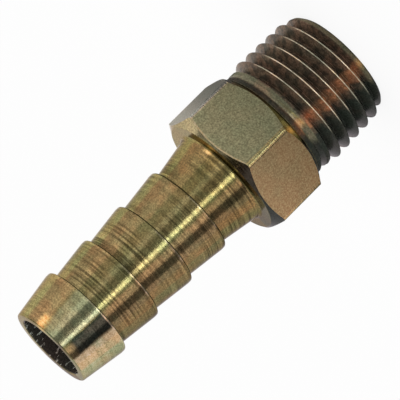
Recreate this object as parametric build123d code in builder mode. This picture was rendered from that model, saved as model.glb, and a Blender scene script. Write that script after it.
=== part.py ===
"""Brass hose tail: a 1/4 inch taper pipe thread, a spanner hexagon and a barbed tail for 3/8 inch hose.

The fitting is turned from one piece of hexagon bar. It stands on its threaded end: the origin is the
centre of that end face, +Z runs along the bore towards the barbed mouth, and two spanner flats face +-X.
"""

import os
from math import atan, cos, degrees, radians, tan

from build123d import *

# Driving dimensions, in millimetres and degrees.
bore_diameter = 7.35
bore_mouth_break = 0.12  # edge break where the bore opens at the barbed mouth
bore_thread_break = 0.4  # edge break where the bore opens at the threaded end

thread_length = 10.05  # from the end face to the hexagon
threads_per_inch = 18
thread_taper = 1 / 16  # growth of the diameter along the axis
thread_small_diameter = 13.43  # over the crests, at the end face
thread_truncation = 0.07  # cut off each sharp crest and each sharp root
thread_flank_angle = 60
thread_lead = 0.6  # how far the first crests are turned down, at the end face
thread_lead_length = 1.6
thread_end_break = 0.15
thread_start_angle = 24  # where the groove crosses the end face
thread_clear_length = 0.3  # left between the end of the groove and the hexagon
run_out_turns = 0.7  # over which the groove fades out
groove_lead_in = 0.75  # turns of the cutter before it meets the end face

collar_diameter = 13.2  # plain collar between the thread and the hexagon
collar_length = 1.6
collar_ramp = 0.5

hexagon_across_flats = 14.29  # a 9/16 inch spanner
hexagon_length = 7.3
hexagon_edge_radius = 0.6
tail_face_diameter = 13.8  # flat ring that the chamfer leaves on the tail side
tail_chamfer_angle = 33  # measured from the end plane of the hexagon
thread_chamfer_angle = 37

neck_length = 4.79
neck_small_diameter = 9.22
neck_large_diameter = 10.86
neck_corner = 0.35  # left by the tool where the neck meets the hexagon

barb_count = 4
barb_pitch = 4.9
barb_root_diameter = 9.31
barb_crest_diameter = 10.38
barb_land = 0.5  # straight band on top of each barb
barb_edge_break = 0.13  # the sharp edges are just taken off

nose_length = 5.26
nose_crest_diameter = 10.74
nose_mouth_diameter = 9.25
nose_edge_break = 0.15

# Heights along the axis, worked out from the lengths above.
hexagon_bottom = thread_length
hexagon_top = hexagon_bottom + hexagon_length
last_barb = hexagon_top + neck_length
first_barb = last_barb + (barb_count - 1) * barb_pitch
overall_length = first_barb + nose_length

# The thread form, from its pitch and flank angle.
thread_pitch = 25.4 / threads_per_inch
half_flank = radians(thread_flank_angle / 2)
thread_depth = thread_pitch / (2 * tan(half_flank)) - 2 * thread_truncation
thread_flat = 2 * thread_truncation * tan(half_flank)  # width of each crest and each root
taper_angle = degrees(atan(thread_taper / 2))
groove_start = -groove_lead_in * thread_pitch
run_out_height = run_out_turns * thread_pitch
groove_end = hexagon_bottom - thread_clear_length - run_out_height


def thread_radius(height):
    """Radius over the crests at a height above the end face."""
    return (thread_small_diameter + thread_taper * height) / 2


def root_radius(height):
    """Radius at the bottom of the groove at a height above the end face."""
    return thread_radius(height) - thread_depth


lead_radius = thread_radius(0) - thread_lead


def blank_outline():
    """Half section of the turned blank, from the end face up to the mouth, without the hexagon."""
    collar_start = hexagon_bottom - collar_length
    ramp_start = collar_start - collar_ramp
    points = [
        (0, 0),
        (lead_radius, 0),
        (thread_radius(thread_lead_length), thread_lead_length),
        (thread_radius(ramp_start), ramp_start),
        (collar_diameter / 2, collar_start),
        (collar_diameter / 2, hexagon_top),
        (neck_large_diameter / 2, hexagon_top),
        (neck_small_diameter / 2, last_barb),
    ]
    for barb in range(barb_count - 1):
        step = last_barb + barb * barb_pitch
        points += [
            (barb_crest_diameter / 2, step),
            (barb_crest_diameter / 2, step + barb_land),
            (barb_root_diameter / 2, step + barb_pitch),
        ]
    points += [
        (nose_crest_diameter / 2, first_barb),
        (nose_crest_diameter / 2, first_barb + barb_land),
        (nose_mouth_diameter / 2, overall_length),
        (0, overall_length),
    ]
    return points


def at_radius(radius):
    """Selects the corners of a half section that lie at a radius."""
    return lambda corner: abs(corner.X - radius) < 0.001


def groove_section(height):
    """Section of the thread groove at a height, open past the crests so that it cuts them clear."""
    root = root_radius(height)
    half_root = thread_flat / 2
    half_mouth = (thread_pitch - thread_flat) / 2
    with BuildSketch(Plane.XZ) as section:
        with BuildLine():
            Polyline(
                (root, height - half_root),
                (root + thread_depth, height - half_mouth),
                (root + 2 * thread_depth, height - half_mouth),
                (root + 2 * thread_depth, height + half_mouth),
                (root + thread_depth, height + half_mouth),
                (root, height + half_root),
                close=True,
            )
        make_face()
    return section.sketch


def groove_path(height, rise, cone_angle):
    """Conical helix that the groove follows from a height, rising by one pitch in each turn."""
    with BuildLine() as path:
        Helix(
            pitch=thread_pitch / cos(radians(cone_angle)),
            height=rise,
            radius=root_radius(height),
            center=(0, 0, height),
            cone_angle=cone_angle,
        )
    return path.wire()


# The cutter for the thread, from off the end face up to where it begins to fade.
with BuildPart() as thread_groove:
    sweep(
        sections=groove_section(groove_start),
        path=groove_path(groove_start, groove_end - groove_start, taper_angle),
        is_frenet=True,
    )

# The same cutter while it backs out of the metal, clear of the hexagon.
run_out_lift = collar_diameter / 2 + thread_truncation - root_radius(groove_end)
with BuildPart() as thread_run_out:
    sweep(
        sections=groove_section(groove_end),
        path=groove_path(groove_end, run_out_height, degrees(atan(run_out_lift / run_out_height))),
        is_frenet=True,
    )

# The hexagon, with its long edges eased and a cone turned on each end.
with BuildPart() as hexagon:
    with BuildSketch(Plane.XY.offset(hexagon_bottom)) as hexagon_section:
        RegularPolygon(hexagon_across_flats / 2, 6, major_radius=False, rotation=30)
        fillet(hexagon_section.vertices(), radius=hexagon_edge_radius)
    extrude(amount=hexagon_length)
    tail_slope = tan(radians(tail_chamfer_angle))
    thread_slope = tan(radians(thread_chamfer_angle))
    cone_reach = hexagon_across_flats / 2 / cos(radians(30))  # radius of the sharp corners
    with BuildSketch(Plane.XZ):
        with BuildLine():
            Polyline(
                (0, hexagon_bottom),
                (collar_diameter / 2, hexagon_bottom),
                (cone_reach, hexagon_bottom + (cone_reach - collar_diameter / 2) * thread_slope),
                (cone_reach, hexagon_top + (tail_face_diameter / 2 - cone_reach) * tail_slope),
                (tail_face_diameter / 2, hexagon_top),
                (0, hexagon_top),
                close=True,
            )
        make_face()
    revolve(axis=Axis.Z, mode=Mode.INTERSECT)

# The turned blank with its thread. The groove starts half a turn from the blank's seam, where it cuts cleanly.
seam_to_groove = 180
with BuildPart() as turning:
    with BuildSketch(Plane.XZ) as half_section:
        with BuildLine():
            Polyline(*blank_outline(), close=True)
        make_face()
        corners = half_section.vertices()
        barb_steps = corners.filter_by(at_radius(barb_crest_diameter / 2)).filter_by(
            lambda corner: min(abs(corner.Y - last_barb - n * barb_pitch) for n in range(barb_count)) < 0.001
        )
        nose_step = corners.filter_by(at_radius(nose_crest_diameter / 2)).sort_by(Axis.Y)[0]
        chamfer([*barb_steps, nose_step], length=barb_edge_break)
        chamfer(half_section.vertices().filter_by(at_radius(nose_mouth_diameter / 2)), length=nose_edge_break)
        chamfer(half_section.vertices().filter_by(at_radius(neck_large_diameter / 2)), length=neck_corner)
        chamfer(half_section.vertices().filter_by(at_radius(lead_radius)), length=thread_end_break)
    revolve(axis=Axis.Z)
    groove_angle = seam_to_groove - 360 * groove_lead_in
    run_out_angle = groove_angle + 360 * (groove_end - groove_start) / thread_pitch
    add(thread_groove.part, rotation=(0, 0, groove_angle), mode=Mode.SUBTRACT)
    add(thread_run_out.part, rotation=(0, 0, run_out_angle), mode=Mode.SUBTRACT)

# The whole fitting, with the blank turned so that the groove starts at its own angle.
with BuildPart() as hose_barb_tail:
    add(turning.part, rotation=(0, 0, thread_start_angle - seam_to_groove))
    add(hexagon.part)

    # The bore, right through, with its two edge breaks.
    with BuildSketch(Plane.XZ):
        with BuildLine():
            Polyline(
                (0, 0),
                (bore_diameter / 2 + bore_thread_break, 0),
                (bore_diameter / 2, bore_thread_break),
                (bore_diameter / 2, overall_length - bore_mouth_break),
                (bore_diameter / 2 + bore_mouth_break, overall_length),
                (0, overall_length),
                close=True,
            )
        make_face()
    revolve(axis=Axis.Z, mode=Mode.SUBTRACT)

hose_barb_tail.part.label = "hose_barb_tail"
os.makedirs("parts", exist_ok=True)
export_step(hose_barb_tail.part, "parts/hose_barb_tail.step")
print("overall length", round(overall_length, 2))
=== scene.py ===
import bpy
import bmesh
from math import cos, pi, radians, sin, tan
from types import SimpleNamespace
from mathutils import Matrix, Vector


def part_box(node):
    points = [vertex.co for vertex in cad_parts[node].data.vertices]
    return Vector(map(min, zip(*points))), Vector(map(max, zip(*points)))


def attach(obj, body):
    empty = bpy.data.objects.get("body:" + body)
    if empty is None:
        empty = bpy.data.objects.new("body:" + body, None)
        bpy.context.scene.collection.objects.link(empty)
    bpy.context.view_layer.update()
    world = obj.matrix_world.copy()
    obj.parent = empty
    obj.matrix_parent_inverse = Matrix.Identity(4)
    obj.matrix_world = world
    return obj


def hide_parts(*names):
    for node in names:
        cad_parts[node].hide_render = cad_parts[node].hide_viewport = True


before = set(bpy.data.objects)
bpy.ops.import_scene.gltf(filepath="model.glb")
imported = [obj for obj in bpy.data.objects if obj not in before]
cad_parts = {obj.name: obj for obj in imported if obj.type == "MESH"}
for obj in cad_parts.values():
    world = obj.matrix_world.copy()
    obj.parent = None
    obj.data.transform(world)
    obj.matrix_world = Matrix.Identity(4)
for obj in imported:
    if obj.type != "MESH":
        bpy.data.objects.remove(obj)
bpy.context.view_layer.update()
mm = 0.001
mergeDistance = 1e-7
nodeName = "hose_barb_tail"
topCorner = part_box(nodeName)[1]
overallLength = topCorner.z / mm
print("frame loaded, overall length", round(overallLength, 2), "mm")


# shapes made by spinning an outline

cornerSegments = 4  # in each small round of an outline


def newObject(name, bm):
    bmesh.ops.recalc_face_normals(bm, faces=bm.faces)
    mesh = bpy.data.meshes.new(name)
    bm.to_mesh(mesh)
    bm.free()
    piece = bpy.data.objects.new(name, mesh)
    bpy.context.scene.collection.objects.link(piece)
    return piece


def outlineVerts(bm, outline):
    verts = [bm.verts.new((radius * mm, 0, height * mm)) for radius, height in outline]
    for first, second in zip(verts, verts[1:]):
        bm.edges.new((first, second))
    return verts


def softenCorners(bm, verts, radii):
    for vert, radius in zip(verts, radii):
        if not radius:
            continue
        first, second = [(edge.other_vert(vert).co - vert.co).normalized() for edge in vert.link_edges]
        turn = pi - first.angle(second)
        bmesh.ops.bevel(bm, geom=[vert], offset=radius * mm * tan(turn / 2), offset_type="OFFSET",
                        affect="VERTICES", segments=cornerSegments, profile=0.5, material=-1)


def lathe(name, outline, segments):
    # each point is a radius and a height, with the radius of its corner where it has one
    bm = bmesh.new()
    verts = outlineVerts(bm, [point[:2] for point in outline])
    softenCorners(bm, verts, [point[2] if len(point) > 2 else 0 for point in outline])
    bmesh.ops.spin(bm, geom=bm.verts[:] + bm.edges[:], cent=(0, 0, 0), axis=(0, 0, 1),
                   angle=2 * pi, steps=segments, use_merge=True)
    bmesh.ops.remove_doubles(bm, verts=bm.verts, dist=mergeDistance)
    return newObject(name, bm)


def combine(target, tool, operation):
    step = target.modifiers.new(operation.lower(), "BOOLEAN")
    step.operation = operation
    step.object = tool
    step.solver = "EXACT"
    mesh = bpy.data.meshes.new_from_object(target.evaluated_get(bpy.context.evaluated_depsgraph_get()))
    target.modifiers.clear()
    target.data = mesh
    bpy.data.objects.remove(tool)


# the hexagon, cut from bar and turned back at both ends

hexagon = {
    "bottom": 10.05,
    "length": 7.3,
    "acrossFlats": 14.29,
    "edgeRadius": 0.6,
    "edgeSegments": 6,
    "tailFace": 13.8,  # diameter of the flat ring on the tail side
    "tailAngle": 33,
    "threadFace": 13.2,
    "threadAngle": 37,
    "spare": 1,  # bar left outside the cones until they trim it
    "segments": 288,
}
hexagon["top"] = hexagon["bottom"] + hexagon["length"]


def makeBar(cornerRadius):
    bm = bmesh.new()
    # two corners lie on the Y axis
    bmesh.ops.create_cone(bm, cap_ends=True, cap_tris=False, segments=6, radius1=cornerRadius * mm,
                          radius2=cornerRadius * mm, depth=(hexagon["length"] + 2 * hexagon["spare"]) * mm)
    middle = (hexagon["bottom"] + hexagon["top"]) / 2
    bmesh.ops.translate(bm, verts=bm.verts, vec=(0, 0, middle * mm))
    longEdges = [edge for edge in bm.edges if abs(edge.verts[0].co.z - edge.verts[1].co.z) > mm]
    bmesh.ops.bevel(bm, geom=longEdges, offset=hexagon["edgeRadius"] * tan(radians(30)) * mm,
                    offset_type="OFFSET", affect="EDGES", segments=hexagon["edgeSegments"], profile=0.5,
                    material=-1)
    return newObject("hexBlock", bm)


def makeHexagon():
    cornerRadius = hexagon["acrossFlats"] / 2 / cos(radians(30))
    block = makeBar(cornerRadius)
    reach = cornerRadius + hexagon["spare"]
    tailSlope = tan(radians(hexagon["tailAngle"]))
    threadSlope = tan(radians(hexagon["threadAngle"]))
    cones = lathe("hexCones", [
        (0, hexagon["bottom"]),
        (hexagon["threadFace"] / 2, hexagon["bottom"]),
        (reach, hexagon["bottom"] + (reach - hexagon["threadFace"] / 2) * threadSlope),
        (reach, hexagon["top"] - (reach - hexagon["tailFace"] / 2) * tailSlope),
        (hexagon["tailFace"] / 2, hexagon["top"]),
        (0, hexagon["top"]),
    ], hexagon["segments"])
    combine(block, cones, "INTERSECT")
    return block


# the tail, with its neck and four barbs

tail = {
    "neckLength": 4.79,
    "neckSmall": 9.22,
    "neckLarge": 10.86,
    "neckRound": 0.35,
    "barbs": 4,
    "barbPitch": 4.9,
    "barbRoot": 9.31,
    "barbCrest": 10.38,
    "barbLand": 0.5,
    "barbRound": 0.15,
    "noseCrest": 10.74,
    "noseMouth": 9.25,
    "noseRound": 0.17,
    "sunk": 1,  # how far it reaches down into the hexagon
    "segments": 256,
}
tail["lastBarb"] = hexagon["top"] + tail["neckLength"]
tail["firstBarb"] = tail["lastBarb"] + (tail["barbs"] - 1) * tail["barbPitch"]


def makeTail():
    neckFoot = tail["neckLarge"] / 2 + tail["neckRound"]
    outline = [
        (0, hexagon["top"] - tail["sunk"]),
        (neckFoot, hexagon["top"] - tail["sunk"]),
        (neckFoot, hexagon["top"]),
        (tail["neckLarge"] / 2, hexagon["top"], tail["neckRound"]),
        (tail["neckSmall"] / 2, tail["lastBarb"]),
    ]
    for barb in range(tail["barbs"] - 1):
        step = tail["lastBarb"] + barb * tail["barbPitch"]
        outline += [
            (tail["barbCrest"] / 2, step, tail["barbRound"]),
            (tail["barbCrest"] / 2, step + tail["barbLand"], tail["barbRound"]),
            (tail["barbRoot"] / 2, step + tail["barbPitch"]),
        ]
    outline += [
        (tail["noseCrest"] / 2, tail["firstBarb"], tail["barbRound"]),
        (tail["noseCrest"] / 2, tail["firstBarb"] + tail["barbLand"], tail["barbRound"]),
        (tail["noseMouth"] / 2, overallLength, tail["noseRound"]),
        (0, overallLength),
    ]
    return lathe("tailTurning", outline, tail["segments"])


# the taper thread, one groove wound round a tapered blank

thread = {
    "length": 10.05,
    "pitch": 25.4 / 18,
    "smallDiameter": 13.43,
    "taper": 1 / 16,
    "crestRound": 0.06,
    "crestSteps": 4,
    "flankSteps": 3,
    "rootTruncation": 0.07,
    "flankAngle": 60,
    "lead": 0.6,  # how far the first crests are turned down
    "leadLength": 1.6,
    "endBreak": 0.15,
    "startAngle": 24,  # where the groove crosses the end face
    "clearLength": 0.3,
    "fadeLength": 0.99,
    "collar": 13.2,
    "collarLength": 1.6,
    "collarRamp": 0.5,
    "turns": 10,
    "turnsBelow": 1.5,  # wound below the end face, then cut away
    "sunk": 1,  # how far it reaches up into the hexagon
    "stepsPerTurn": 180,
    "weldDistance": 1e-6,
}


def toothOutline():
    # one groove and the tooth above it, as they are at the end face
    halfFlank = radians(thread["flankAngle"] / 2)
    crestRound = thread["crestRound"]
    crestCut = crestRound * (1 / sin(halfFlank) - 1)  # from the sharp crest down to the rounded one
    depth = thread["pitch"] / (2 * tan(halfFlank)) - crestCut - thread["rootTruncation"]
    rootFlat = thread["rootTruncation"] * tan(halfFlank)
    small = thread["smallDiameter"] / 2
    middle = thread["pitch"] / 2
    half = []  # from the middle of the crest down its flank to the root
    for step in range(thread["crestSteps"] + 1):
        angle = (pi / 2 - halfFlank) * step / thread["crestSteps"]
        half.append((small - crestRound + crestRound * cos(angle), crestRound * sin(angle)))
    endRadius, endHeight = half[-1]
    for step in range(1, thread["flankSteps"] + 1):
        share = step / thread["flankSteps"]
        half.append((endRadius + (small - depth - endRadius) * share,
                     endHeight + (middle - rootFlat - endHeight) * share))
    outline = [(small - depth, -rootFlat)]
    outline += [(radius, middle - height) for radius, height in reversed(half)]
    outline += [(radius, middle + height) for radius, height in half[1:]]
    return outline


def windThread(bm):
    pitch = thread["pitch"]
    steps = thread["turns"] * thread["stepsPerTurn"]
    outlineVerts(bm, toothOutline())
    bmesh.ops.spin(bm, geom=bm.verts[:] + bm.edges[:], cent=(0, 0, 0), axis=(0, 0, 1),
                   dvec=(0, 0, pitch / thread["stepsPerTurn"] * mm), angle=2 * pi * thread["turns"],
                   steps=steps, use_merge=False)
    bmesh.ops.translate(bm, verts=bm.verts, vec=(0, 0, -thread["turnsBelow"] * pitch * mm))
    bmesh.ops.remove_doubles(bm, verts=bm.verts, dist=thread["weldDistance"])
    # wound up from there, the root meets the end face at half a turn, and is turned on to its own angle
    turned = Matrix.Rotation(radians(thread["startAngle"]) - pi, 3, "Z")
    bmesh.ops.rotate(bm, verts=bm.verts, cent=(0, 0, 0), matrix=turned)


def blankRadius(height):
    # the turned blank before its groove: a lead at the end, the taper, and a drop to the collar
    small = thread["smallDiameter"] / 2
    growth = thread["taper"] / 2
    collarStart = thread["length"] - thread["collarLength"]
    rampStart = collarStart - thread["collarRamp"]
    collarRadius = thread["collar"] / 2
    if height < thread["leadLength"]:
        share = height / thread["leadLength"]
        endRadius = small - thread["lead"]
        full = small + growth * thread["leadLength"]
        return min(endRadius * (1 - share) + full * share, endRadius - thread["endBreak"] + height)
    if height < rampStart:
        return small + growth * height
    if height < collarStart:
        rampRadius = small + growth * rampStart
        return rampRadius + (collarRadius - rampRadius) * (height - rampStart) / thread["collarRamp"]
    return collarRadius


def fitToBlank(bm):
    fadeStart = thread["length"] - thread["clearLength"] - thread["fadeLength"]
    for vert in bm.verts:
        height = vert.co.z / mm
        limit = blankRadius(height)
        radius = min(vert.co.xy.length / mm + thread["taper"] / 2 * height, limit)
        fade = min(max((height - fadeStart) / thread["fadeLength"], 0), 1)
        radius += (limit - radius) * fade
        vert.co.xy *= radius * mm / vert.co.xy.length


def makeThread():
    bm = bmesh.new()
    windThread(bm)
    fitToBlank(bm)
    ends = ((0, -1), (thread["length"] + thread["sunk"], 1))
    for height, side in ends:
        bmesh.ops.bisect_plane(bm, geom=bm.verts[:] + bm.edges[:] + bm.faces[:], dist=mergeDistance,
                               plane_co=(0, 0, height * mm), plane_no=(0, 0, side), clear_outer=True)
    bmesh.ops.holes_fill(bm, edges=[edge for edge in bm.edges if edge.is_boundary], sides=0)
    return newObject("threadTurning", bm)


# the bore

bore = {"diameter": 7.35, "mouthBreak": 0.12, "threadBreak": 0.4, "past": 1, "segments": 192}


def makeBore():
    radius = bore["diameter"] / 2
    past = bore["past"]  # how far the tool runs out at each end
    return lathe("boreTool", [
        (0, -past),
        (radius + bore["threadBreak"] + past, -past),
        (radius, bore["threadBreak"]),
        (radius, overallLength - bore["mouthBreak"]),
        (radius + bore["mouthBreak"] + past, overallLength + past),
        (0, overallLength + past),
    ], bore["segments"])


# the whole fitting

sharpAngle = 28


def countFaults(piece):
    bm = bmesh.new()
    bm.from_mesh(piece.data)
    openEdges = sum(1 for edge in bm.edges if not edge.is_manifold)
    triangles = sum(len(face.verts) - 2 for face in bm.faces)
    print("open edges", openEdges, "volume mm3", bm.calc_volume() / mm ** 3, "triangles", triangles)
    bm.free()


def makeFitting():
    piece = makeHexagon()
    print("hexagon", len(piece.data.polygons))
    for name, tool, operation in (("tail", makeTail(), "UNION"), ("thread", makeThread(), "UNION"),
                                  ("bore", makeBore(), "DIFFERENCE")):
        combine(piece, tool, operation)
        print(name, len(piece.data.polygons))
    piece.name = piece.data.name = "hoseTailFitting"
    for face in piece.data.polygons:
        face.use_smooth = True
    piece.data.set_sharp_from_angle(angle=radians(sharpAngle))
    countFaults(piece)
    return piece


fitting = makeFitting()
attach(fitting, "root")
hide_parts(nodeName)


# shader maths

class Wire:
    def __init__(self, tree, socket):
        self.tree = tree
        self.socket = socket

    def node(self, kind, inputs, settings=None, output=0):
        return makeNode(self.tree, kind, inputs, settings, output)

    def math(self, operation, first, second=0.0):
        return self.node("ShaderNodeMath", {0: first, 1: second}, {"operation": operation})

    def ramp(self, low, high):
        return self.node("ShaderNodeMapRange", {"Value": self, "From Min": low, "From Max": high},
                         {"interpolation_type": "SMOOTHSTEP"})

    def band(self, low, high, soft):
        return self.ramp(low - soft, low + soft) * (1 - self.ramp(high - soft, high + soft))

    def noise(self, stretch, detail):
        vector = self.node("ShaderNodeVectorMath", {0: self, 1: stretch}, {"operation": "MULTIPLY"})
        return self.node("ShaderNodeTexNoise", {"Vector": vector, "Scale": 1.0, "Detail": detail})

    def feed(self, shader, name):
        self.tree.links.new(self.socket, shader.inputs[name])

    def __add__(self, other):
        return self.math("ADD", self, other)

    def __radd__(self, other):
        return self.math("ADD", other, self)

    def __sub__(self, other):
        return self.math("SUBTRACT", self, other)

    def __rsub__(self, other):
        return self.math("SUBTRACT", other, self)

    def __mul__(self, other):
        return self.math("MULTIPLY", self, other)

    def __rmul__(self, other):
        return self.math("MULTIPLY", other, self)


def makeNode(tree, kind, inputs, settings=None, output=0):
    node = tree.nodes.new(kind)
    for key, value in (settings or {}).items():
        setattr(node, key, value)
    for key, value in inputs.items():
        if isinstance(value, Wire):
            tree.links.new(value.socket, node.inputs[key])
        else:
            node.inputs[key].default_value = value
    return Wire(tree, node.outputs[output])


def blend(share, first, second, kind="MIX"):
    wire = next(value for value in (share, first, second) if isinstance(value, Wire))
    return wire.node("ShaderNodeMix", {0: share, 6: first, 7: second},
                     {"data_type": "RGBA", "blend_type": kind}, 2)


# the side in view, which the camera goes by, and so do the painted reflections, highlights and shade in the
# finish

view = {
    "distance": 0.40,
    "tilt": 13.4,  # above the horizon
    "turn": 8.0,  # round from the front
    "pixelsPerMm": 9.91,
    "lookAtHeight": 20.55,
    "lookAcross": 0.111,
    "frame": 400,  # pixels along a side
    "sensorWidth": 36,
    "nearest": 0.01,
    "farthest": 10,
}


# tarnished brass, with reflections, highlights and shade painted into its colours: a bearing is in degrees
# to the left of the middle of the side in view, a height is in millimetres up from the thread end, a third
# number beside the two ends is how soft they are, and a wander is how much of the drift a mark follows

brassLook = {
    "warm": (1.12, 0.985, 0.87, 1),  # the two tints of the blotches
    "cool": (0.90, 0.96, 0.86, 1),
    "hexagonTint": 0.35,  # share of those tints on the hexagon
    "speckle": 0.35,
    "edgeTint": (0.6, 0.57, 0.55, 1),  # of what is mirrored at a glancing angle
    "dullShine": 0.1,  # mirror share where the metal is covered
    "roughness": 0.13,
    "bumpStrength": 0.25,
    "bumpDepth": 0.05,
    "seam": 0.05,  # softness where one part's finish meets the next
}

# stretch along each axis per millimetre, detail, and the part of the noise's range that is used
mottles = {
    "blotch": ((0.5, 0.5, 0.5), 4, 0.35, 0.65),
    "burnt": ((1.3, 1.3, 1.3), 5, 0.4, 0.62),
    "rings": ((0.12, 0.12, 5), 3, 0.3, 0.75),
    "ringPatches": ((0.2, 0.2, 0.4), 2, 0.3, 0.6),
    "speckle": ((6, 6, 6), 3, 0.3, 0.75),
    "scratches": ((4, 1.2, 1.2), 2, 0.6, 0.64),
}
drift = {"stretch": (0.35, 0.35, 0.35), "detail": 3, "reach": 14}  # degrees by which marks wander
bumpNoise = {"stretch": (0.3, 0.3, 9), "detail": 4}


def readSurface(tree):
    place = makeNode(tree, "ShaderNodeTexCoord", {}, None, "Object")
    place = place.node("ShaderNodeVectorMath", {0: place, "Scale": 1 / mm}, {"operation": "SCALE"})
    across, depth, height = (place.node("ShaderNodeSeparateXYZ", {0: place}, None, axis) for axis in "XYZ")
    surface = SimpleNamespace(place=place, height=height)
    surface.radius = place.math("SQRT", across * across + depth * depth)
    surface.around = (view["turn"] - 90) - depth.math("ARCTAN2", depth, across) * (180 / pi)
    surface.drift = (place.noise(drift["stretch"], drift["detail"]) - 0.5) * drift["reach"]
    for name, (stretch, detail, low, high) in mottles.items():
        setattr(surface, name, place.noise(stretch, detail).ramp(low, high))
    seam = brassLook["seam"]
    surface.onTail = height.ramp(hexagon["top"] - seam, hexagon["top"] + seam)
    surface.onNose = height.ramp(tail["firstBarb"] - seam, tail["firstBarb"] + seam)
    surface.onThread = 1 - height.ramp(hexagon["bottom"] - seam, hexagon["bottom"] + seam)
    surface.onHexagon = (1 - surface.onThread) * (1 - surface.onTail)
    return surface


def bearing(surface, wander):
    return surface.around + surface.drift * wander


def patchy(mottle, least):
    # from the least share up to the whole, as the mottle goes from nought to one
    return least + mottle * (1 - least)


tailLook = {
    "barbs": (0.27, 0.25, 0.12, 1),
    "neck": (0.26, 0.235, 0.105, 1),
    "neckSeam": 0.02,
    "nose": (0.34, 0.30, 0.145, 1),
    # noseMiddle and noseLower are painted reflections on the nose
    "noseMiddle": (0.46, 0.47, 0.28, 1),
    "middleBearing": (-24, 6, 3),
    "noseLower": (0.57, 0.60, 0.37, 1),
    "lowerBearing": (30, 33),
    # noseStreak is a painted tint of the highlight streak, where the strip light's reflection falls
    "noseStreak": (0.24, 0.245, 0.165, 1),
    "streakBearing": (3, 10.5, 1),
    # a painted dark reflection, in a band on the nose past the highlight streak
    "darkReflection": (0.034, 0.06, 0.054, 1),
    "darkShare": 0.9,
    "darkBearing": (11, 31, 1.5),
    "darkHeight": (36.8, 41.2, 0.35),
    "darkWander": 0.4,
    "darkRise": 0.05,  # wander of its height
    "dipShare": 0.45,  # of the same painted dark reflection, in a strip beside the highlight streak
    "dipBearing": (-6, 2, 1.5),
    "orange": (0.74, 0.63, 0.27, 1),
    "mouthBearing": (-36, -24, 4),
    "mouthHeight": (40.5, 40.95),
    "mouthRise": 0.02,
    # the next two place a painted orange highlight on the round between neck and hexagon
    "cornerBearing": (-36, -26, 4),
    "cornerHeight": (17.3, 17.8, 0.15),
    "stepHighlight": (0.75, 0.68, 0.42, 1),  # a painted highlight along the foot of each barb step
    "stepHighlightBearing": (-8, 36, 5),
    "stepHighlightBelow": 0.05,
    "stepHighlightAbove": 0.26,
    "stepHighlightSoft": 0.04,
    "stepHighlightLeast": 0.4,
    "rings": 0.6,  # strength of the turning marks
    "noseRings": 0.4,  # share of them on the nose
}


def noseColour(surface):
    look, around = tailLook, surface.around
    # painted reflections: a lighter band in the middle of the side in view, and a bright reflection on the
    # lower side
    colour = blend(around.band(*look["middleBearing"]), look["nose"], look["noseMiddle"])
    colour = blend(around.ramp(*look["lowerBearing"]), colour, look["noseLower"])
    # a painted dark reflection in a strip beside the highlight streak
    colour = blend(around.band(*look["dipBearing"]) * look["dipShare"], colour, look["darkReflection"])
    # painted tint of the highlight streak
    colour = blend(around.band(*look["streakBearing"]), colour, look["noseStreak"])
    # painted dark reflection: a band on the nose just past the highlight streak
    reflectionBand = bearing(surface, look["darkWander"]).band(*look["darkBearing"])
    reflectionBand = reflectionBand * (surface.height + surface.drift * look["darkRise"]).band(*look["darkHeight"])
    colour = blend(reflectionBand * look["darkShare"], colour, look["darkReflection"])
    mouth = (around + surface.drift).band(*look["mouthBearing"])
    mouth = mouth * (surface.height + surface.drift * look["mouthRise"]).ramp(*look["mouthHeight"])
    return blend(mouth, colour, look["orange"])


def tailColour(surface):
    look, height = tailLook, surface.height
    seam = look["neckSeam"]
    onNeck = surface.onTail * (1 - height.ramp(tail["lastBarb"] - seam, tail["lastBarb"] + seam))
    colour = blend(onNeck, look["barbs"], look["neck"])
    return blend(surface.onNose, colour, noseColour(surface))


# a painted highlight along the foot of each barb step, on the lower side in view
def highlightBarbSteps(surface, colour):
    look = tailLook
    steps = 0
    for barb in range(tail["barbs"]):
        foot = tail["lastBarb"] + barb * tail["barbPitch"]
        low, high = foot - look["stepHighlightBelow"], foot + look["stepHighlightAbove"]
        steps = steps + surface.height.band(low, high, look["stepHighlightSoft"])
    stepHighlight = steps * surface.around.band(*look["stepHighlightBearing"]) * patchy(surface.blotch, look["stepHighlightLeast"])
    return blend(stepHighlight, colour, look["stepHighlight"])


hexagonLook = {
    # the flats' brass colour with painted reflections: each flat is tinted by what it mirrors, the far one
    # greyed by the backdrop at a glancing angle
    "upperFlat": (0.43, 0.455, 0.27, 1),
    "lowerFlat": (0.62, 0.53, 0.26, 1),
    "lowerBearing": (6, 9),
    "farFlat": (0.46, 0.50, 0.46, 1),
    "farBearing": (-111, -51, 1),
    "chamfer": (0.40, 0.35, 0.21, 1),
    "chamferShade": (0.12, 0.10, 0.08, 1),
    "shadeBearing": (-12, 8),
    # a near-black painted shade on the tail-side chamfer, on the lower side in view
    "dull": (0.035, 0.04, 0.035, 1),
    "shadedSideBearing": (30, 44),
    "shadedSideWander": 0.3,
    "dullCover": 0.85,
    # a painted highlight on the rounded corner beside the lower flat
    "corner": (0.62, 0.56, 0.27, 1),
    "cornerBearing": (-5, 20, 2),
    "cornerRadius": (8.03, 8.09),
    # a painted reflection on the front of the thread-side chamfer, with a painted glint in it
    "shoulder": (0.66, 0.63, 0.34, 1),
    "shoulderBearing": (-14, 26, 2),
    "shoulderWander": 0.4,
    "shoulderRise": (2, 3),  # above the foot of the hexagon
    "spot": (1.0, 0.97, 0.5, 1),
    "glintBearing": (9, 20, 3),
    "glintWander": 0.2,
    # a painted highlight along the flats' edge next to the tail-side chamfer
    "edge": (0.75, 0.68, 0.42, 1),
    "edgeBearing": (-50, 5, 5),
    "edgeReach": (-0.34, -0.18),  # from the edge, inwards
    "lean": (0.1, 0.3),  # of the surface, from a flat to a chamfer
    "roughness": 0.36,
    "cornerRoughness": 0.2,
}


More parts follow.
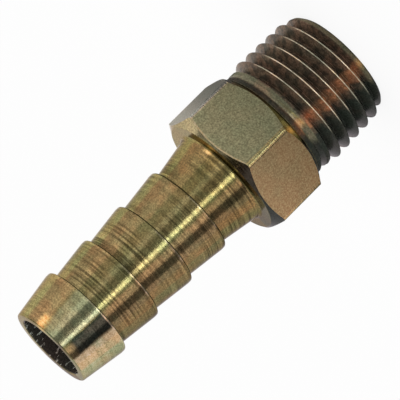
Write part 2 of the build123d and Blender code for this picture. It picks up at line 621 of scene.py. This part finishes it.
def markHexagon(surface):
    look = hexagonLook
    facing = makeNode(surface.place.tree, "ShaderNodeNewGeometry", {}, None, "True Normal")
    rise = facing.node("ShaderNodeSeparateXYZ", {0: facing}, None, "Z")
    surface.upright = 1 - rise.math("ABSOLUTE", rise).ramp(*look["lean"])
    surface.onFlat = surface.onHexagon * surface.upright
    surface.onCorner = surface.onFlat * surface.radius.ramp(*look["cornerRadius"])
    # the chamfer on the lower side in view, which gets painted shade
    shadedSide = bearing(surface, look["shadedSideWander"]).ramp(*look["shadedSideBearing"])
    surface.dullChamfer = surface.onHexagon * (1 - surface.upright) * shadedSide


def hexagonColour(surface):
    look, around, height = hexagonLook, surface.around, surface.height
    # painted reflections: each flat tinted by what it mirrors, the far flat greyed by the backdrop at a
    # glancing angle
    flats = blend(around.ramp(*look["lowerBearing"]), look["upperFlat"], look["lowerFlat"])
    flats = blend(around.band(*look["farBearing"]), flats, look["farFlat"])
    shade = (around + surface.drift).ramp(*look["shadeBearing"])
    chamfer = blend(shade, look["chamfer"], look["chamferShade"])
    # painted shade on the chamfer on the lower side in view
    chamfer = blend(surface.dullChamfer, chamfer, look["dull"])
    colour = blend(surface.upright, chamfer, flats)
    # a painted highlight on the rounded corner beside the lower flat
    colour = blend(surface.onCorner * around.band(*look["cornerBearing"]), colour, look["corner"])
    # painted reflection on the front of the thread-side chamfer
    low = 1 - (height - hexagon["bottom"]).ramp(*look["shoulderRise"])
    shoulder = (1 - surface.upright) * low
    shoulder = shoulder * bearing(surface, look["shoulderWander"]).band(*look["shoulderBearing"])
    colour = blend(shoulder, colour, look["shoulder"])
    # a painted glint in that reflection
    spot = bearing(surface, look["glintWander"]).band(*look["glintBearing"])
    colour = blend(shoulder * spot, colour, look["spot"])
    # a painted highlight along the flats' edge next to the tail-side chamfer
    slope = 1 / tan(radians(hexagon["tailAngle"]))
    edgeRadius = hexagon["tailFace"] / 2 + (hexagon["top"] - height) * slope
    edge = (surface.radius - edgeRadius).ramp(*look["edgeReach"])
    return blend(edge * surface.onFlat * around.band(*look["edgeBearing"]), colour, look["edge"])


threadLook = {
    "flank": (0.19, 0.135, 0.10, 1),
    # a near-black tone, for dark blotches and for painted shade
    "dull": (0.035, 0.04, 0.035, 1),
    "dullShare": 0.7,
    "shadedSideBearing": (24, 40),
    # a painted orange sheen across the flanks, in a band beside the highlight
    "orangeSheen": (0.56, 0.27, 0.15, 1),
    "sheenBearing": (12, 25, 3),
    "sheenWander": 0.6,
    "sheenLeast": 0.35,
    "ring": (0.21, 0.195, 0.135, 1),  # the collar and the band at the end
    "ringHeight": (8.75, 9.45, 0.08),
    "endHeight": (0.5, 0.7),
    "ringBearing": (30, 45),
    # a painted glint on the collar ring and the end band
    "spot": (0.75, 0.50, 0.24, 1),
    "glintBearing": (12, 20, 4),
    "glintWander": 0.4,
    "ringSpot": 0.6,
    # painted shade on the collar just under the hexagon
    "grooveHeight": (9.4, 9.7),
    "grooveShare": 0.7,
    # a painted highlight along the crests
    "crest": (0.85, 0.80, 0.66, 1),
    "crestBearing": (-50, 36, 10),
    "crestReach": (-0.06, -0.02),  # from the crest, inwards
    "crestLeast": 0.5,
    "roughness": 0.24,
    "metal": 0.5,
    "sideMetal": 0.12,
    "metalBearing": (-48, 30, 10),
}


def threadColour(surface):
    look, around, height = threadLook, surface.around, surface.height
    colour = blend(surface.burnt * look["dullShare"], look["flank"], look["dull"])
    # painted shade on the lower side in view
    colour = blend((around + surface.drift).ramp(*look["shadedSideBearing"]), colour, look["dull"])
    # a painted orange sheen across the flanks, in a band beside the highlight
    orangeSheen = bearing(surface, look["sheenWander"]).band(*look["sheenBearing"])
    orangeSheen = orangeSheen * patchy(surface.burnt, look["sheenLeast"])
    colour = blend(orangeSheen, colour, look["orangeSheen"])
    ring = height.band(*look["ringHeight"])
    endBand = 1 - height.ramp(*look["endHeight"])
    colour = blend((ring + endBand) * (1 - around.ramp(*look["ringBearing"])), colour, look["ring"])
    # a painted glint on the collar ring and the end band
    spot = bearing(surface, look["glintWander"]).band(*look["glintBearing"])
    colour = blend((ring * look["ringSpot"] + endBand) * spot, colour, look["spot"])
    # painted shade on the collar just under the hexagon
    return blend(height.ramp(*look["grooveHeight"]) * look["grooveShare"], colour, look["dull"])


def shineCrests(surface, colour):
    look = threadLook
    # a painted highlight along the crests
    crestRadius = thread["smallDiameter"] / 2 + surface.height * (thread["taper"] / 2)
    crests = (surface.radius - crestRadius).ramp(*look["crestReach"]) * surface.onThread
    crests = crests * surface.around.band(*look["crestBearing"])
    return blend(crests * patchy(surface.blotch, look["crestLeast"]), colour, look["crest"])


boreLook = {
    # the wall is painted near black as the bore's shade
    "wall": (0.055, 0.048, 0.045, 1),
    "scratch": (0.5, 0.49, 0.47, 1),
    "reach": (3.7, 3.8),  # radii over which the finish of the bore ends
    "cover": 0.8,
}


def brassColour(surface):
    colour = blend(surface.onHexagon, tailColour(surface), hexagonColour(surface))
    colour = blend(surface.onThread, colour, threadColour(surface))
    # a painted orange highlight on the round between the neck and the hexagon
    spot = (surface.around + surface.drift).band(*tailLook["cornerBearing"])
    spot = spot * surface.height.band(*tailLook["cornerHeight"])
    colour = blend(spot, colour, tailLook["orange"])
    colour = shineCrests(surface, colour)
    # painted shade on the bore wall
    colour = blend(surface.inBore, colour, boreLook["wall"])
    colour = blend(surface.inBore * surface.scratches, colour, boreLook["scratch"])
    tint = blend(surface.blotch, brassLook["cool"], brassLook["warm"])
    tinted = 1 - surface.onHexagon * (1 - brassLook["hexagonTint"])
    colour = highlightBarbSteps(surface, blend(tinted, colour, tint, "MULTIPLY"))
    ringed = surface.onTail * (1 - surface.onNose * (1 - tailLook["noseRings"]))
    ringed = ringed * tailLook["rings"] * surface.ringPatches
    for share, mottle in ((ringed, surface.rings), (brassLook["speckle"], surface.speckle)):
        grey = mottle.node("ShaderNodeValToRGB", {0: mottle})
        colour = blend(share, colour, grey, "OVERLAY")
    return colour


def brassRoughness(surface):
    plain = brassLook["roughness"]
    rough = plain + surface.onFlat * (hexagonLook["roughness"] - plain)
    rough = rough + surface.onCorner * (hexagonLook["cornerRoughness"] - hexagonLook["roughness"])
    return rough + surface.onThread * (threadLook["roughness"] - plain)


def brassMetal(surface):
    look = threadLook
    bare = surface.around.band(*look["metalBearing"])
    threadMetal = look["sideMetal"] + bare * (look["metal"] - look["sideMetal"])
    # less metal where shade is painted on the chamfer and in the bore
    metal = 1 - surface.dullChamfer * hexagonLook["dullCover"] - surface.inBore * boreLook["cover"]
    return metal - surface.onThread * (1 - surface.inBore) * (1 - threadMetal)


def makeBrass():
    brass = bpy.data.materials.new("tarnishedBrass")
    brass.use_nodes = True
    shader = brass.node_tree.nodes["Principled BSDF"]
    surface = readSurface(brass.node_tree)
    markHexagon(surface)
    surface.inBore = 1 - surface.radius.ramp(*boreLook["reach"])
    brassColour(surface).feed(shader, "Base Color")
    brassRoughness(surface).feed(shader, "Roughness")
    brassMetal(surface).feed(shader, "Metallic")
    relief = surface.place.noise(bumpNoise["stretch"], bumpNoise["detail"])
    bump = {"Height": relief, "Strength": brassLook["bumpStrength"], "Distance": brassLook["bumpDepth"] * mm}
    relief.node("ShaderNodeBump", bump).feed(shader, "Normal")
    shader.inputs["Specular Tint"].default_value = brassLook["edgeTint"]
    shader.inputs["Specular IOR Level"].default_value = brassLook["dullShine"]
    return brass


fitting.data.materials.clear()
fitting.data.materials.append(makeBrass())
print("material done")


# floor, light and camera

studio = {
    "floorSize": 1.2,
    "paper": (0.9, 0.9, 0.9, 1),
    "paperRoughness": 0.9,
    "floorGlow": 0.88,  # share of the floor that is plain white to the camera
    "floorShine": 0.12,  # how bright the floor is in reflections
    "sky": 0.36,  # how bright the sky is in reflections
    "radius": 0.06,  # of the ring of cards round the object
    "height": 0.085,
    "cardStep": 5,  # degrees
    "cards": {  # from and to, in degrees to the left of the camera, then what each sends out
        "stripLight": (10.3, 17.8, (4.1, 4.0, 3.9)),
        "stripEdge": (17.8, 27, (0.5, 0.5, 0.47)),
        "warmStrip": (27, 43, (1.2, 0.88, 0.95)),
        "blackCard": (43, 64, (0.19, 0.16, 0.19)),
        "leftNear": (64, 80, (0.8, 0.62, 0.72)),
        "leftCard": (80, 105, (0.95, 0.68, 0.7)),
        "leftFar": (105, 180, (0.75, 0.68, 0.72)),
        "front": (-13, 10, (0.40, 0.38, 0.38)),
        "frontStrip": (-25, -13, (0.95, 0.90, 0.95)),
        "rightNear": (-52, -25, (0.70, 0.62, 0.60)),
        "rightStrip": (-75, -52, (1.2, 0.92, 0.95)),
        "rightCard": (-105, -75, (0.95, 0.72, 0.75)),
        "rightFar": (-180, -105, (1.2, 1.12, 1.05)),
    },
}


def glowMaterial(name, colour):
    material = bpy.data.materials.new(name)
    material.use_nodes = True
    tree = material.node_tree
    glow = makeNode(tree, "ShaderNodeEmission", {"Color": (*colour, 1), "Strength": 1.0})
    glow.feed(tree.nodes["Material Output"], "Surface")
    return material


def makeCards():
    for name, (start, end, colour) in studio["cards"].items():
        bm = bmesh.new()
        first = radians(-90 + view["turn"] - start)
        spot = Vector((cos(first), sin(first), 0)) * studio["radius"]
        verts = [bm.verts.new(spot), bm.verts.new(spot + Vector((0, 0, studio["height"])))]
        edge = bm.edges.new(verts)
        bmesh.ops.spin(bm, geom=verts + [edge], cent=(0, 0, 0), axis=(0, 0, 1), angle=radians(start - end),
                       steps=max(2, round((end - start) / studio["cardStep"])), use_merge=False)
        card = newObject(name, bm)
        card.data.materials.append(glowMaterial(name, colour))
        # only reflections show it
        card.visible_camera = False
        card.visible_diffuse = False
        card.visible_shadow = False


def paperMaterial():
    paper = bpy.data.materials.new("paperWhite")
    paper.use_nodes = True
    tree = paper.node_tree
    surface = tree.nodes["Principled BSDF"]
    surface.inputs["Base Color"].default_value = studio["paper"]
    surface.inputs["Roughness"].default_value = studio["paperRoughness"]
    camera, glossy = (makeNode(tree, "ShaderNodeLightPath", {}, None, ray)
                      for ray in ("Is Camera Ray", "Is Glossy Ray"))
    glow = makeNode(tree, "ShaderNodeEmission", {"Strength": 1 + glossy * (studio["floorShine"] - 1)})
    seen = camera * studio["floorGlow"] + glossy
    mixed = makeNode(tree, "ShaderNodeMixShader", {0: seen, 1: Wire(tree, surface.outputs[0]), 2: glow})
    mixed.feed(tree.nodes["Material Output"], "Surface")
    return paper


def makeFloor():
    bm = bmesh.new()
    bmesh.ops.create_grid(bm, x_segments=1, y_segments=1, size=studio["floorSize"])
    floor = newObject("paperFloor", bm)
    floor.data.materials.append(paperMaterial())


def viewAxes():
    turn, tilt = radians(view["turn"]), radians(view["tilt"])
    back = Vector((sin(turn) * cos(tilt), -cos(turn) * cos(tilt), sin(tilt)))
    upright = (Vector((0, 0, 1)) - back * back.z).normalized()
    across = back.cross(upright)
    return back, upright, across


def makeCamera():
    back, upright, across = viewAxes()
    right = (across - upright).normalized()  # the object lies along the diagonal of the picture
    up = (-across - upright).normalized()
    camera = bpy.data.cameras.new("productCamera")
    camera.sensor_width = view["sensorWidth"]
    camera.lens = view["pixelsPerMm"] * view["distance"] / mm * camera.sensor_width / view["frame"]
    camera.clip_start = view["nearest"]
    camera.clip_end = view["farthest"]
    holder = bpy.data.objects.new("productCamera", camera)
    bpy.context.scene.collection.objects.link(holder)
    target = Vector((0, 0, view["lookAtHeight"] * mm)) + across * view["lookAcross"] * mm
    place = Matrix((right, up, back)).transposed().to_4x4()
    place.translation = target + back * view["distance"]
    holder.matrix_world = place
    bpy.context.scene.camera = holder


def makeWorld():
    world = bpy.data.worlds.new("studio")
    world.use_nodes = True
    bpy.context.scene.world = world
    tree = world.node_tree
    background = tree.nodes["Background"]
    background.inputs["Color"].default_value = (1, 1, 1, 1)
    glossy = makeNode(tree, "ShaderNodeLightPath", {}, None, "Is Glossy Ray")
    (glossy * (studio["sky"] - 1) + 1).feed(background, "Strength")


makeFloor()
makeCards()
makeWorld()
makeCamera()
bpy.context.scene.view_settings.view_transform = "Standard"
print("studio done")
